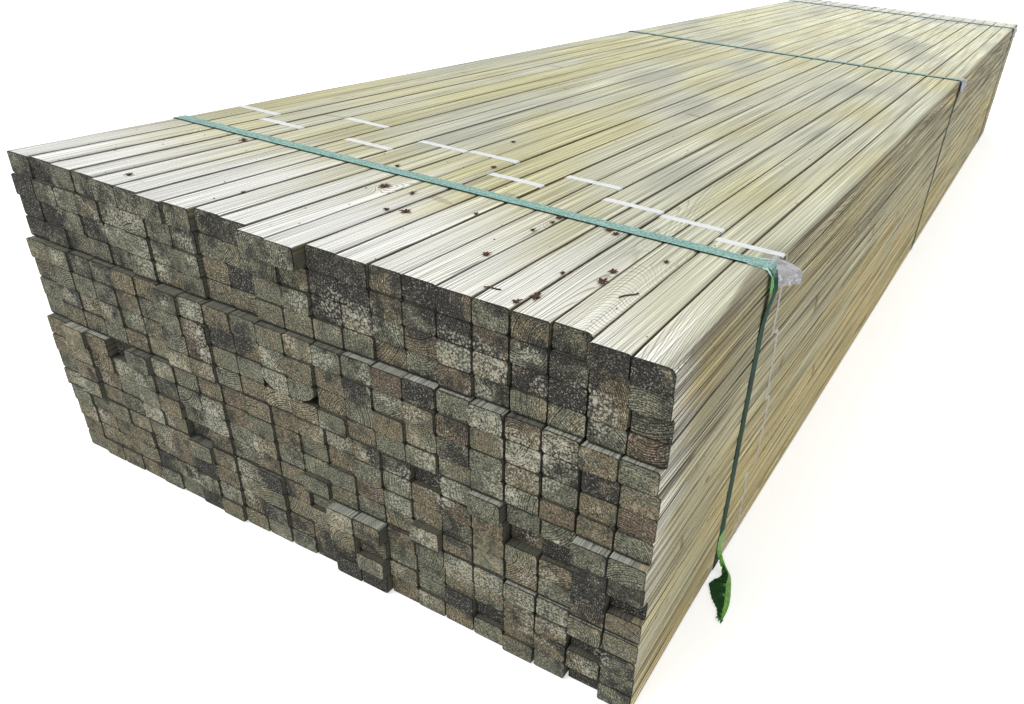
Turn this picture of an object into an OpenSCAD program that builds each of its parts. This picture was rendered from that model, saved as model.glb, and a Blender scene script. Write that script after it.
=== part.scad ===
// Strapped pack of treated timber battens.
// Small retail bundles, banded two battens wide and four high, are stacked in tiers
// and held together by three straps that go round the whole pack.
// X runs across the pack, Y along the battens with the front end at -Y, and Z up.
// The origin is on the floor, under the middle strap and midway across the pack.

/* [Battens] */
// Width of a batten, across the pack
batten_w = 38; // [30:1:50]
// Thickness of a batten
batten_t = 25; // [19:1:32]
// Sawn length of a batten
batten_l = 3300; // [2400:100:4800]
// Radius of a batten's eased arrises
arris_r = 3; // [1:0.5:5]
// Gap between two battens of one bundle
batten_gap = 0.2; // [0.1:0.05:0.4]

/* [Bundles] */
// Battens side by side in a bundle
bundle_cols = 2; // [1:1:3]
// Battens on top of each other in a bundle
bundle_rows = 4; // [2:1:5]
// Bundles side by side in the pack
pack_cols = 11; // [2:1:11]
// Tiers of bundles in the pack
pack_tiers = 4; // [1:1:4]
// How far a batten slips along its bundle, either way
batten_slip = 2; // [0:0.5:4]

/* [Bundle bands] */
// Width of the white band round a bundle
band_w = 12; // [9:1:16]
// Thickness of the white band
band_t = 0.5; // [0.4:0.1:0.7]
// Clearance between the band and its bundle
band_fit = 0.05; // [0.02:0.01:0.1]
// Usual distance of a hidden band behind the front strap
band_lag = 95; // [80:5:140]
// Nearest place of a rear band, before the rear strap
rear_band_gap = 50; // [40:5:200]
// How far the bands' places differ, either way
band_spread = 45; // [0:5:50]

/* [Pack straps] */
// Width of the green strap round the pack
strap_w = 19; // [12:1:25]
// Thickness of the green strap
strap_t = 1; // [0.8:0.1:1.5]
// Clearance between the strap and the timber
strap_fit = 0.05; // [0.02:0.01:0.1]
// Front strap's centre from the front end
front_strap_inset = 234; // [150:2:400]
// Middle strap's centre ahead of the middle of the battens
middle_strap_lead = 22; // [0:2:100]
// Rear strap's centre from the rear end
rear_strap_inset = 216; // [150:2:400]
// Length of the strap's loose end along the floor
tail_l = 68; // [30:2:120]
// Height on the side where the loose end leaves the strap
tail_z = 28; // [16:2:60]
// How far out from the side the loose end meets the floor
tail_reach = 22; // [6:1:30]
// Length of the strap's welded overlap
weld_l = 30; // [20:2:40]

/* [Corner sheets] */
// Thickness of the plastic sheet under a strap at the top right corner
sheet_t = 0.6; // [0.4:0.1:1]
// Length of a sheet along the corner
sheet_l = 58; // [40:2:100]
// Width of a sheet on the top of the pack
sheet_top = 24; // [14:1:34]
// Depth of a sheet down the side of the pack
sheet_side = 30; // [14:1:50]

/* [Hidden] */
$fn = 32;

bundle_w = bundle_cols * batten_w + (bundle_cols - 1) * batten_gap;
bundle_h = bundle_rows * batten_t + (bundle_rows - 1) * batten_gap;
// Two bands may meet between neighbours, with a little room left over
bundle_gap = 2 * (band_t + band_fit) + 0.1;
bundle_pitch = bundle_w + bundle_gap;
tier_pitch = bundle_h + bundle_gap;
pack_w = pack_cols * bundle_pitch - bundle_gap;
pack_h = pack_tiers * tier_pitch - bundle_gap;
// The timber stands on the straps
timber_z = max(strap_t, band_t) + strap_fit;
// A corner sheet also covers the band beside its strap
sheet_fit = band_t + 2 * band_fit;
sheet_outer = sheet_fit + sheet_t;

front_y = middle_strap_lead - batten_l / 2;
rear_y = middle_strap_lead + batten_l / 2;
strap_ys = [front_y + front_strap_inset, 0, rear_y - rear_strap_inset];
strap_outer = strap_fit + strap_t;

// How far each bundle's front end stands forward, tier by tier from the top
tier_forward = [
  [-2, -1, 0, 1, -2, 1, 0, -1, 0, 0, 3],
  [5, 5, 5, 10, 7, 9, 8, 8, 7, 7, 8],
  [12, 9, 9, 7, 5, 4, 3, 3, 5, 4, 9],
  [6, 7, 6, 8, 6, 3, 9, 2, 3, 7, 10],
];

// Single battens that stand further forward, as [row from the top, column, distance]
proud_battens = [
  [1, 2, -4], [1, 4, -3], [1, 7, 4], [1, 9, -3], [1, 11, 9], [1, 12, 11], [1, 21, 10], [1, 22, 10],
  [2, 21, 5], [2, 22, 5], [5, 7, 3], [6, 7, 2], [6, 12, 2],
  [9, 2, 3], [9, 3, 2], [9, 4, -10], [9, 5, 5], [9, 16, -5], [9, 18, 9], [9, 21, 9], [9, 22, 9],
  [10, 19, -8], [10, 20, -6], [10, 21, 4], [10, 22, 3], [11, 22, -8],
  [12, 7, -8], [12, 12, 6], [12, 16, 9], [13, 7, 4], [13, 12, -6], [13, 13, 9], [13, 14, 8],
  [13, 21, 4], [14, 13, 6], [14, 21, -9], [15, 14, 5], [15, 18, -7], [16, 21, -9],
];

// How far behind the front strap the top tier's bands lie, from left to right
top_band_lag = [103, 72, 156, 72, 130, 136, 71, 126, 78, 68, 39];
// The same for the right-hand bundles, from the top tier down
side_band_lag = [39, 78, 107, 82];

tier_names = ["top", "upper", "lower", "bottom"];
function bundle_name(tier, col) = str("bundle_", tier_names[tier], "_", col < 9 ? "0" : "", col + 1);

bundle_places = [for (tier = [0:pack_tiers - 1], col = [0:pack_cols - 1]) [tier, col]];
STRAPS = ["strap_front", "strap_middle", "strap_rear"];
SHEETS = ["corner_sheet_front", "corner_sheet_middle", "corner_sheet_rear"];

// Where the front and the rear bands start in the list of scattered values
front_seed = 20;
rear_seed = 40;

// A repeatable value from -1 to 1 for each place in the pack
function scatter(a, b) = rands(-1, 1, 1, 53 * a + b)[0];

function proud(row, col) =
  let (found = [for (p = proud_battens) if (p[0] == row && p[1] == col) p[2]])
  len(found) > 0 ? found[0] : 0;

function forward(tier, col, a, b) =
  let (row = tier * bundle_rows + a + 1, place = col * bundle_cols + b + 1)
  tier_forward[tier][col] + proud(row, place) + batten_slip * scatter(row, place);

function bundle_x(col) = col * bundle_pitch - pack_w / 2;
function bundle_z(tier) = timber_z + (pack_tiers - 1 - tier) * tier_pitch;

function front_lag(tier, col) =
  tier == 0 ? top_band_lag[col] :
  col == pack_cols - 1 ? side_band_lag[tier] :
  band_lag + band_spread * scatter(tier + front_seed, col);

function rear_lag(tier, col) =
  rear_band_gap + band_spread * (1 + scatter(tier + rear_seed, col));

// Outline with its lower left corner at the origin and rounded corners
module rounded(w, h, r) {
  translate([r, 0]) square([w - 2 * r, h]);
  translate([0, r]) square([w, h - 2 * r]);
  for (x = [r, w - r], y = [r, h - r]) translate([x, y]) circle(r);
}

// Rounded outline grown by a margin on every side
module grown(w, h, margin) {
  translate([-margin, -margin]) rounded(w + 2 * margin, h + 2 * margin, arris_r + margin);
}

// Turns an outline drawn in X and Z into a length along Y that starts at y
module along(y, length) {
  translate([0, y + length, 0]) rotate([90, 0, 0]) linear_extrude(length) children();
}

module bundle(tier, col) {
  color("darkkhaki")
    for (a = [0:bundle_rows - 1], b = [0:bundle_cols - 1])
      translate([
        bundle_x(col) + b * (batten_w + batten_gap), 0,
        bundle_z(tier) + bundle_h - batten_t - a * (batten_t + batten_gap)])
        along(front_y - forward(tier, col, a, b), batten_l) rounded(batten_w, batten_t, arris_r);
}

// One bundle's band, centred at y along the pack
module band(tier, col, y) {
  color("whitesmoke")
    translate([bundle_x(col), 0, bundle_z(tier)])
      along(y - band_w / 2, band_w)
        difference() {
          grown(bundle_w, bundle_h, band_fit + band_t);
          grown(bundle_w, bundle_h, band_fit);
        }
}

module bands_front() {
  for (p = bundle_places) band(p[0], p[1], strap_ys[0] + front_lag(p[0], p[1]));
}

module bands_rear() {
  for (p = bundle_places)
    band(p[0], p[1], strap_ys[2] - rear_lag(p[0], p[1]));
}

// Block that fills out the pack's top right corner to the outside of a sheet
module sheet_block(margin) {
  translate([pack_w - sheet_top - margin, pack_h - sheet_side - margin])
    rounded(
      sheet_top + sheet_outer + 2 * margin, sheet_side + sheet_outer + 2 * margin,
      arris_r + sheet_outer + margin);
}

// Section that a strap is pulled round, with a sheet on its corner
module wrapped(margin) {
  grown(pack_w, pack_h, margin);
  sheet_block(margin);
}

module strap(i) {
  color("seagreen")
    translate([-pack_w / 2, 0, timber_z])
      along(strap_ys[i] - strap_w / 2, strap_w)
        difference() {
          wrapped(strap_outer);
          wrapped(strap_fit);
        }
  if (i == 0) strap_tail();
}

// The front strap's loose end: welded to the side, curved down to the floor and folded forward
module strap_tail() {
  side_x = pack_w / 2 + strap_outer;
  fold_x = side_x + tail_reach;
  angles = [0:10:90];
  outside = [for (a = angles) [fold_x - tail_reach * cos(a), tail_z * (1 - sin(a))]];
  inside = [for (a = angles)
    [fold_x - (tail_reach - strap_t) * cos(a), tail_z - (tail_z - strap_t) * sin(a)]];
  near_y = strap_ys[0] - strap_w / 2;
  color("limegreen") {
    translate([side_x, near_y, tail_z]) cube([strap_t, strap_w, weld_l]);
    along(near_y, strap_w)
      polygon(concat(outside, [for (i = [len(inside) - 1:-1:0]) inside[i]]));
    translate([fold_x, near_y - tail_l, 0]) cube([strap_w, tail_l + strap_w, strap_t]);
  }
}

// A bent sheet that lies under the strap and runs on behind it
module corner_sheet(i) {
  color("lightgray")
    translate([-pack_w / 2, 0, timber_z])
      along(strap_ys[i] - strap_w / 2, sheet_l)
        difference() {
          sheet_block(0);
          grown(pack_w, pack_h, sheet_fit);
        }
}

for (p = bundle_places)
  bundle(p[0], p[1]);
bands_front();
bands_rear();
for (i = [0:2]) strap(i);
for (i = [0:2]) corner_sheet(i);
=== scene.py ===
import math
import random

import bpy
import numpy as np
from mathutils import Euler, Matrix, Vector


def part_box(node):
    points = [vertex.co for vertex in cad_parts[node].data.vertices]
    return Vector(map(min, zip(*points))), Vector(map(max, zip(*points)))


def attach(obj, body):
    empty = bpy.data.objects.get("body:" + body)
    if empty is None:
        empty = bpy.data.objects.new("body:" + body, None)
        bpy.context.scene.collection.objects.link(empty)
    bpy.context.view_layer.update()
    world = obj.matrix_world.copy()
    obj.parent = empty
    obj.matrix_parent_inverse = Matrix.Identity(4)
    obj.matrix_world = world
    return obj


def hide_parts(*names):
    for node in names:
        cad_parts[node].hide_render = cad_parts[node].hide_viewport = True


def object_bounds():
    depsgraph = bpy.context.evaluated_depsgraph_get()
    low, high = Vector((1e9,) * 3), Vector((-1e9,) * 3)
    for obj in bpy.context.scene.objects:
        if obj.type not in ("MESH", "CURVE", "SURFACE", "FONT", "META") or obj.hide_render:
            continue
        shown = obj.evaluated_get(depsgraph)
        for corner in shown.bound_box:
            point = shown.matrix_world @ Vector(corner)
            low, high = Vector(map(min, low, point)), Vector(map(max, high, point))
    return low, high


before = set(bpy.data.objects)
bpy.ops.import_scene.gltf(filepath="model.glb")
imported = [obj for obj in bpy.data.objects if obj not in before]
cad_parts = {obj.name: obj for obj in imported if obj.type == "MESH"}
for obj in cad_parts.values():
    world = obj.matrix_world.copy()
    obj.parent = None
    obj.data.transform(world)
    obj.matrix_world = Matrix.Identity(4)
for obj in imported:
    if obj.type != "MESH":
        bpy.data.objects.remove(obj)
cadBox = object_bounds()
tierNames = ["top", "upper", "lower", "bottom"]
bundleCount = 11
bundleRows = 4
bundleColumns = 2
packRows = len(tierNames) * bundleRows
packColumns = bundleCount * bundleColumns


def bundleNode(tier, column):
    return f"bundle_{tierNames[tier]}_{column + 1:02d}"


def nodePoints(name):
    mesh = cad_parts[name].data
    points = np.empty(len(mesh.vertices) * 3)
    mesh.vertices.foreach_get("co", points)
    return points.reshape(-1, 3)


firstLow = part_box(bundleNode(3, 0))[0]
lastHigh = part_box(bundleNode(0, bundleCount - 1))[1]
timberFloor = firstLow.z
timberTop = lastHigh.z
halfPack = lastHigh.x
frontEnd = cadBox[0].y
rearEnd = cadBox[1].y
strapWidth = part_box("strap_middle")[1].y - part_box("strap_middle")[0].y
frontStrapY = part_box("strap_front")[1].y - strapWidth / 2
print("frame loaded", [round(v, 4) for v in (*cadBox[0], *cadBox[1])])


def tint(code, alpha=1.0):
    # a written colour such as "8a8f7c" as linear values
    parts = [int(code[i:i + 2], 16) / 255 for i in (0, 2, 4)]
    linear = [p / 12.92 if p <= 0.04045 else ((p + 0.055) / 1.055) ** 2.4 for p in parts]
    return (*linear, alpha)


def tints(codes):
    # the same for a dictionary of colours and pairs of colours
    return {key: tint(code) if isinstance(code, str) else [tint(c) for c in code]
            for key, code in codes.items()}


class Wire:
    # an output socket that can be written into sums
    def __init__(self, paint, socket):
        self.paint = paint
        self.socket = socket

    def calc(self, operation, *others):
        return self.paint.calc(operation, self, *others)

    def __add__(self, other):
        return self.calc("ADD", other)

    def __radd__(self, other):
        return self.calc("ADD", other)

    def __sub__(self, other):
        return self.calc("SUBTRACT", other)

    def __rsub__(self, other):
        return self.paint.calc("SUBTRACT", other, self)

    def __mul__(self, other):
        return self.calc("MULTIPLY", other)

    def __rmul__(self, other):
        return self.calc("MULTIPLY", other)

    def __truediv__(self, other):
        return self.calc("DIVIDE", other)

    def __rtruediv__(self, other):
        return self.paint.calc("DIVIDE", other, self)

    def __neg__(self):
        return self.calc("MULTIPLY", -1.0)

    def __abs__(self):
        return self.calc("ABSOLUTE")


class Paint:
    # the nodes of one new material or world
    def __init__(self, owner):
        self.owner = owner
        self.owner.use_nodes = True
        self.tree = self.owner.node_tree
        self.tree.nodes.clear()

    def node(self, kind, settings=None, inputs=None, outputs=0):
        made = self.tree.nodes.new(kind)
        for key, value in (settings or {}).items():
            setattr(made, key, value)
        for key, value in (inputs or {}).items():
            if isinstance(value, Wire):
                self.tree.links.new(value.socket, made.inputs[key])
            else:
                made.inputs[key].default_value = value
        if isinstance(outputs, (list, tuple)):
            return [Wire(self, made.outputs[name]) for name in outputs]
        return Wire(self, made.outputs[outputs]) if made.outputs else made

    def calc(self, operation, *values):
        return self.node("ShaderNodeMath", {"operation": operation}, dict(enumerate(values)))

    def vector(self, operation, *values):
        return self.node("ShaderNodeVectorMath", {"operation": operation}, dict(enumerate(values)))

    def split(self, wire):
        return self.node("ShaderNodeSeparateXYZ", inputs={0: wire}, outputs=("X", "Y", "Z"))

    def join(self, x, y, z):
        return self.node("ShaderNodeCombineXYZ", inputs={0: x, 1: y, 2: z})

    def smooth(self, value, low, high, start=0.0, end=1.0):
        return self.node(
            "ShaderNodeMapRange", {"interpolation_type": "SMOOTHSTEP"},
            {"Value": value, "From Min": low, "From Max": high, "To Min": start, "To Max": end})

    def noise(self, place, scale=1.0, detail=2.0, rough=0.5):
        return self.node("ShaderNodeTexNoise", {"noise_dimensions": "3D"},
                         {"Vector": place, "Scale": scale, "Detail": detail, "Roughness": rough})

    def line(self, w, detail=1.0):
        return self.node("ShaderNodeTexNoise", {"noise_dimensions": "1D"},
                         {"W": w, "Scale": 1.0, "Detail": detail})

    def mix(self, factor, first, second, blend="MIX"):
        pick = {0: factor, 6: first, 7: second}
        return self.node("ShaderNodeMix", {"data_type": "RGBA", "blend_type": blend}, pick, 2)

    def place(self):
        return self.node("ShaderNodeTexCoord", outputs="Object")

    def normal(self):
        return self.split(self.node("ShaderNodeNewGeometry", outputs="Normal"))

    def attribute(self, name):
        stored = self.node("ShaderNodeAttribute", {"attribute_name": name}, outputs="Vector")
        return self.split(stored)

    def shadeBy(self, factor, colour):
        return self.mix(1.0, colour, self.join(factor, factor, factor), "MULTIPLY")

    def bump(self, height, strength, distance):
        return self.node("ShaderNodeBump", inputs={
            "Height": height, "Strength": strength, "Distance": distance}, outputs="Normal")

    def finish(self, fixed, varying):
        shader = self.node("ShaderNodeBsdfPrincipled", inputs={**fixed, **varying})
        self.node("ShaderNodeOutputMaterial", inputs={"Surface": shader})
        return self.owner

    def surface(self, gloss, base, rough, relief, more=None):
        # relief is a height, its strength and its depth in metres
        varying = {"Base Color": base, "Roughness": rough, "Normal": self.bump(*relief)}
        return self.finish({"Specular IOR Level": gloss}, {**varying, **(more or {})})


def newPaint(name):
    return Paint(bpy.data.materials.new(name))


cameraSettings = {
    "place": (0.6086, -2.1429, 0.6990),  # metres
    "turn": (0.99963, -0.07059, 0.49820),  # radians
    "lens": 28.347,
    "shift": (-0.0805, 0.0630),
    "clip": (0.05, 200.0),
}

lightSettings = {
    "sky": 0.50,
    "keySun": {"from": (-0.45, -0.55, 0.95), "strength": 1.75, "softness": 40.0},
    "sideSun": {"from": (0.9, -0.35, 0.5), "strength": 0.55, "softness": 60.0},
    "floorSize": 60.0,
    "floorDepth": 0.0005,  # how far the floor lies below the pack
    "floorGlow": 0.56,  # for the camera only
    "floorColours": {"first": "ebebe9", "second": "f0f0ee"},
}


def makeCamera():
    data = bpy.data.cameras.new("camera")
    data.lens = cameraSettings["lens"]
    data.shift_x, data.shift_y = cameraSettings["shift"]
    data.clip_start, data.clip_end = cameraSettings["clip"]
    camera = bpy.data.objects.new("camera", data)
    camera.location = cameraSettings["place"]
    camera.rotation_euler = Euler(cameraSettings["turn"])
    bpy.context.scene.collection.objects.link(camera)
    bpy.context.scene.camera = camera


def makeSun(name, settings):
    data = bpy.data.lights.new(name, "SUN")
    data.energy = settings["strength"]
    data.angle = math.radians(settings["softness"])
    sun = bpy.data.objects.new(name, data)
    sun.location = Vector(settings["from"]) * 4  # where it stands doesn't change its light
    sun.rotation_euler = Vector(settings["from"]).to_track_quat("Z", "Y").to_euler()
    bpy.context.scene.collection.objects.link(sun)


def makeWorld():
    paint = Paint(bpy.data.worlds.new("studio"))
    bpy.context.scene.world = paint.owner
    seen, glossy, through = paint.node(
        "ShaderNodeLightPath", outputs=("Is Camera Ray", "Is Glossy Ray", "Is Transmission Ray"))
    white = seen.calc("MAXIMUM", glossy).calc("MAXIMUM", through)
    strength = white * (1.0 - lightSettings["sky"]) + lightSettings["sky"]
    sky = paint.node("ShaderNodeBackground", inputs={"Color": (1, 1, 1, 1), "Strength": strength})
    paint.node("ShaderNodeOutputWorld", inputs={"Surface": sky})


makeCamera()
makeWorld()
for sunName in ("keySun", "sideSun"):
    makeSun(sunName, lightSettings[sunName])
bpy.context.scene.view_settings.view_transform = "Standard"
print("camera and light ready")


timberGrain = {
    "halfLength": 1.65,  # metres, as the rest
    "halfWidth": 0.019,
    "halfDepth": 0.0125,
    "bend": 0.036,  # how far the tree's centre line wanders
    "wobble": 0.0015,
    "ringWaver": 1.1,  # how uneven the rings are, in rings
    "lateWood": (0.56, 0.92),  # where in a ring the dark part begins and is full
    "knotSpacing": 0.30,
    "knotShare": 0.55,
    "knotRadius": (0.0025, 0.0055),  # smallest, and how much larger it may be
    "knotBend": 1.9,  # how strongly the rings go round a knot
}


class Grain:
    # what both timber finishes know about a point: its place in the batten and its growth rings
    def __init__(self, paint, withKnots):
        self.paint = paint
        self.place = paint.place()
        self.worldX, self.worldY, self.worldZ = paint.split(self.place)
        homeX, homeY, homeZ = paint.attribute("home")
        self.x, self.y, self.z = self.worldX - homeX, self.worldY - homeY, self.worldZ - homeZ
        heartX, heartZ, seed = paint.attribute("heart")
        slopeX, slopeZ, ringWidth = paint.attribute("grow")
        self.own = seed * 31.0
        tierHeight = (timberTop - timberFloor) / len(tierNames)
        self.tierPart = ((timberTop - self.worldZ) / tierHeight).calc("FRACT")

        # distance from the tree's centre line, which wanders along the batten
        bend = (paint.line(self.y * 1.3 + self.own) - 0.5) * timberGrain["bend"]
        wobble = (self.streaks(50.0, 7.0) - 0.5) * timberGrain["wobble"]
        fromHeartX = self.x - heartX - slopeX * self.y + bend
        fromHeartZ = self.z - heartZ - slopeZ * self.y + bend * 0.6
        reach = (fromHeartX * fromHeartX + fromHeartZ * fromHeartZ).calc("SQRT") + wobble
        if withKnots:
            # a branch now and then, running outwards from the centre line
            small, larger = timberGrain["knotRadius"]
            knotWire = self.y / timberGrain["knotSpacing"] + self.own
            knotPlace, knotColour = paint.node(
                "ShaderNodeTexVoronoi", {"voronoi_dimensions": "1D"}, {"W": knotWire, "Scale": 1.0},
                ("W", "Color"))
            knotAngle, knotSize, knotChance = paint.split(knotColour)
            turn = (-heartZ).calc("ARCTAN2", -heartX) + (knotAngle - 0.5) * 1.5
            cosine, sine = turn.calc("COSINE"), turn.calc("SINE")
            outwards = fromHeartX * cosine + fromHeartZ * sine
            across = fromHeartZ * cosine - fromHeartX * sine
            along = (knotWire - knotPlace) * timberGrain["knotSpacing"] - outwards * 0.25
            radius = (knotSize * larger + small) * (0.5 + outwards * 18.0).calc("MINIMUM", 1.0)
            there = knotChance.calc("LESS_THAN", timberGrain["knotShare"])
            there = paint.smooth(outwards, 0.0, 0.006) * there
            distance = (along * along + across * across).calc("SQRT") / radius
            self.knotCore = paint.smooth(distance, 1.08, 0.86) * there
            self.knotRings = (distance * 4.5).calc("SINE") * 0.5 + 0.5
            pull = (-(distance * distance) / 8.0).calc("EXPONENT") * radius
            reach = reach - pull * there * timberGrain["knotBend"]
        rings = reach / ringWidth
        waver = paint.line(rings * 0.45 + self.own) * timberGrain["ringWaver"]
        ringPart = (rings + waver).calc("FRACT")
        self.late = paint.smooth(ringPart, *timberGrain["lateWood"]) * paint.smooth(ringPart, 1.0, 0.94)

    def streaks(self, across, along, detail=1.0, rough=0.5):
        # noise drawn out along the batten, and different in each
        spot = self.paint.join(self.x * across + self.own, self.y * along, self.z * across)
        return self.paint.noise(spot, 1.0, detail, rough)


longFaceColours = {
    "topEarly": ("cdcdb8", "c8c59e"),  # grey-green, yellow
    "topLate": ("aeac96", "a89f76"),
    "topFarSheen": "f3f3d8",
    "topStain": "a5a8a0",
    "topBleached": ("f2f2ec", "f5f4ea"),  # on the left, on the right
    "topBleachedLate": ("605e57", "787468"),
    "sideEarly": ("aea88a", "b3a67b"),
    "sideLate": ("686650", "736543"),
    "sideBleached": ("bab8aa", "5f5c54"),
    "sideWhite": ("d4d1c4", "858276"),
    # inside: weathered, and also painted dark as shade between the battens
    "inside": ("55554a", "2c2c26"),
    "ledgeEarly": ("64655a", "9d9f94"),  # ledge in painted shade under the tier above, ledge painted lit
    "ledgeLate": ("383933", "585b53"),
    "knot": ("8f7048", "5f4328"),
    "arrisDark": "786f5c",
    "grime": ("4b3f29", "3b3a38"),  # in the joints, and where the timber is bleached
}

longFaceSettings = {
    "topBleach": 0.34,  # how far from the ends each kind of bleaching reaches
    "sideBleach": 0.22,
    "sideWhite": 0.07,
    "topDirt": (0.85, 0.50),  # in the joints near the ends, and further in
    "sideDirt": 0.45,
    "stain": 0.4,
    "rightShade": 0.045,  # painted shadow: how much darker the right of the top is between two straps
    "rightShadeY": -0.78,
    "arrisDarkTop": 0.65,
    "arrisDarkSide": 0.8,
    "arrisDarkLength": 0.22,
    "gloss": 0.28,
}


def longFaceMaterial():
    paint = newPaint("treated timber")
    settings = longFaceSettings
    colour = tints(longFaceColours)
    grain = Grain(paint, True)
    x, y, z = grain.x, grain.y, grain.z
    worldX, worldY, worldZ = grain.worldX, grain.worldY, grain.worldZ
    halfWidth, halfDepth = timberGrain["halfWidth"], timberGrain["halfDepth"]
    light, warm, wearAndLight = paint.attribute("faceTone")
    normalX, _, normalZ = paint.normal()
    fibre = grain.streaks(560.0, 3.2, rough=0.6)
    hair = grain.streaks(1750.0, 4.0, detail=0.0)
    streak = grain.streaks(120.0, 1.3)
    broad = grain.streaks(22.0, 2.1)
    drift = paint.noise(paint.join(worldX * 6.0, worldY * 2.4, worldZ * 7.0), 1.0, 1.0)

    # where each kind of surface lies
    nearTop = paint.smooth(worldZ, timberTop - 0.008, timberTop - 0.004)
    nearSide = paint.smooth(abs(worldX), halfPack - 0.008, halfPack - 0.004)
    topFace = paint.smooth(normalZ, 0.25, 0.7) * nearTop
    sideFace = paint.smooth(abs(normalX), 0.3, 0.7) * nearSide
    ledge = paint.smooth(grain.tierPart, 0.10, 0.06) * paint.smooth(normalZ, 0.4, 0.8)
    frontRun = worldY - frontEnd
    fromEnd = frontRun.calc("MINIMUM", rearEnd - worldY)
    faded = fromEnd + (broad - 0.5) * 0.30 + (streak - 0.5) * 0.12 + paint.smooth(worldX, 0.1, 0.42) * 0.15
    topBleach = paint.smooth(faded, settings["topBleach"], 0.06) * topFace
    far = paint.smooth(worldY, -0.8, 1.0)
    lowRows = paint.smooth(worldZ, 0.30, 0.10) * sideFace
    sideBleach = paint.smooth(faded, settings["sideBleach"], 0.03) * sideFace * (1.0 - lowRows * 0.9)
    ownEnd = timberGrain["halfLength"] - abs(y) + (streak - 0.5) * 0.10 + (broad - 0.5) * 0.08
    sideWhite = paint.smooth(ownEnd, settings["sideWhite"], 0.005) * sideFace * (1.0 - lowRows * 0.80)
    bleach = topBleach.calc("MAXIMUM", sideBleach)

    # the top, the side, then the faces inside the pack: early wood and late wood of each
    warmPart = drift + (warm - 0.5) * 0.22
    topWarm = paint.smooth(warmPart, 0.38, 0.66)
    topEarly = paint.mix(topWarm, *colour["topEarly"])
    # painted sheen: the top turns paler towards the far end, where the sky's reflection would brighten it
    topEarly = paint.mix(paint.smooth(worldY, -0.7, 1.4) * 0.8, topEarly, colour["topFarSheen"])
    topEarly = paint.mix(paint.smooth(drift, 0.46, 0.32) * 0.5, topEarly, colour["topStain"])
    onRight = paint.smooth(worldX + (broad - 0.5) * 0.3, 0.0, 0.35)
    topEarly = paint.mix(topBleach, topEarly, paint.mix(onRight, *colour["topBleached"]))
    topLate = paint.mix(topWarm, *colour["topLate"])
    topLate = paint.mix(topBleach, topLate, paint.mix(onRight, *colour["topBleachedLate"]))
    sideWarm = paint.smooth(warmPart + lowRows * 0.12 - 0.03, 0.36, 0.64)
    sides = []
    for number, name in enumerate(("sideEarly", "sideLate")):
        side = paint.mix(sideWarm, *colour[name])
        side = paint.mix(sideBleach * 0.9, side, colour["sideBleached"][number])
        sides.append(paint.mix(sideWhite * 0.85, side, colour["sideWhite"][number]))
    sideEarly, sideLate = sides
    # painted light and shade on the ledges: pale where lit, dark in the shade of the tier above
    ledgeLit = paint.smooth(wearAndLight + (broad - 0.5), 0.35, 0.8)
    # the faces inside the pack are weathered and painted dark as shade between the battens
    insideEarly = paint.mix(ledge, colour["inside"][0], paint.mix(ledgeLit, *colour["ledgeEarly"]))
    insideLate = paint.mix(ledge, colour["inside"][1], paint.mix(ledgeLit, *colour["ledgeLate"]))
    openFace = nearTop.calc("MAXIMUM", nearSide)
    early = paint.mix(openFace, insideEarly, paint.mix(topFace, sideEarly, topEarly))
    late = paint.mix(openFace, insideLate, paint.mix(topFace, sideLate, topLate))
    wood = paint.mix(grain.late * paint.smooth(streak, 0.28, 0.68, 0.45, 1.0), early, late)
    fibreShare = ledge * 1.6 + sideFace * (1.1 + far * 3.0) + 0.5 - topBleach * 0.45
    grey = (fibre - 0.5) * fibreShare + (hair - 0.5) * (sideFace * 3.6 + 0.8) + (light - 0.5) * 0.12 + 1.0
    bands = (broad - 0.5) * (0.55 - far * 0.3) + (streak - 0.5) * (far * 0.4 + 0.4)
    grey = grey + bands * (sideFace * 0.45 - topBleach * 0.40 + 0.5)
    highRows = paint.smooth(worldZ, 0.34, 0.24, -0.21, 0.10)
    rowTone = highRows + paint.smooth(worldZ, 0.20, 0.03, 0.0, 0.14)
    grey = grey + rowTone * sideFace - paint.smooth(fromEnd, 0.30, 0.10) * lowRows * 0.13
    # painted shadow across the right of the top between two straps
    shadowBetweenStraps = paint.smooth(abs(worldY - settings["rightShadeY"]), 0.32, 0.12) * onRight * topFace
    grey = grey - shadowBetweenStraps * settings["rightShade"]
    wood = paint.shadeBy(grey, wood)
    knot = paint.mix(grain.knotRings, *colour["knot"])
    wood = paint.mix(grain.knotCore * (sideFace * 0.35 + 0.3), wood, knot)

    # dirt in the joints, on open faces only; the joints of the top are wider on the left
    ragged = (fibre - 0.5) * 0.0014 + (broad - 0.5) * 0.0028
    seam = paint.smooth(fromEnd, 0.05, 0.45, 0.0008, 0.0) * paint.smooth(worldX, -0.10, 0.25, -0.6, 1.0)
    topEdge = abs(x) + ragged * 0.8 - seam
    topJoint = paint.smooth(topEdge, halfWidth - 0.0020, halfWidth - 0.0009) * nearTop
    sideEdge = abs(z) + ragged + far * 0.0012
    sideJoint = paint.smooth(sideEdge, halfDepth - 0.0012, halfDepth - 0.0001) * nearSide
    topDirt = topJoint * paint.smooth(fromEnd, 0.25, 1.2, *settings["topDirt"])
    stain = paint.smooth(abs(x), 0.004, 0.019) * paint.smooth(broad, 0.45, 0.66) * topBleach * wearAndLight
    dirty = topDirt.calc("MAXIMUM", sideJoint * settings["sideDirt"])
    dirty = dirty.calc("MAXIMUM", stain * settings["stain"])
    base = paint.mix(dirty, wood, paint.mix(bleach, *colour["grime"]))
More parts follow.
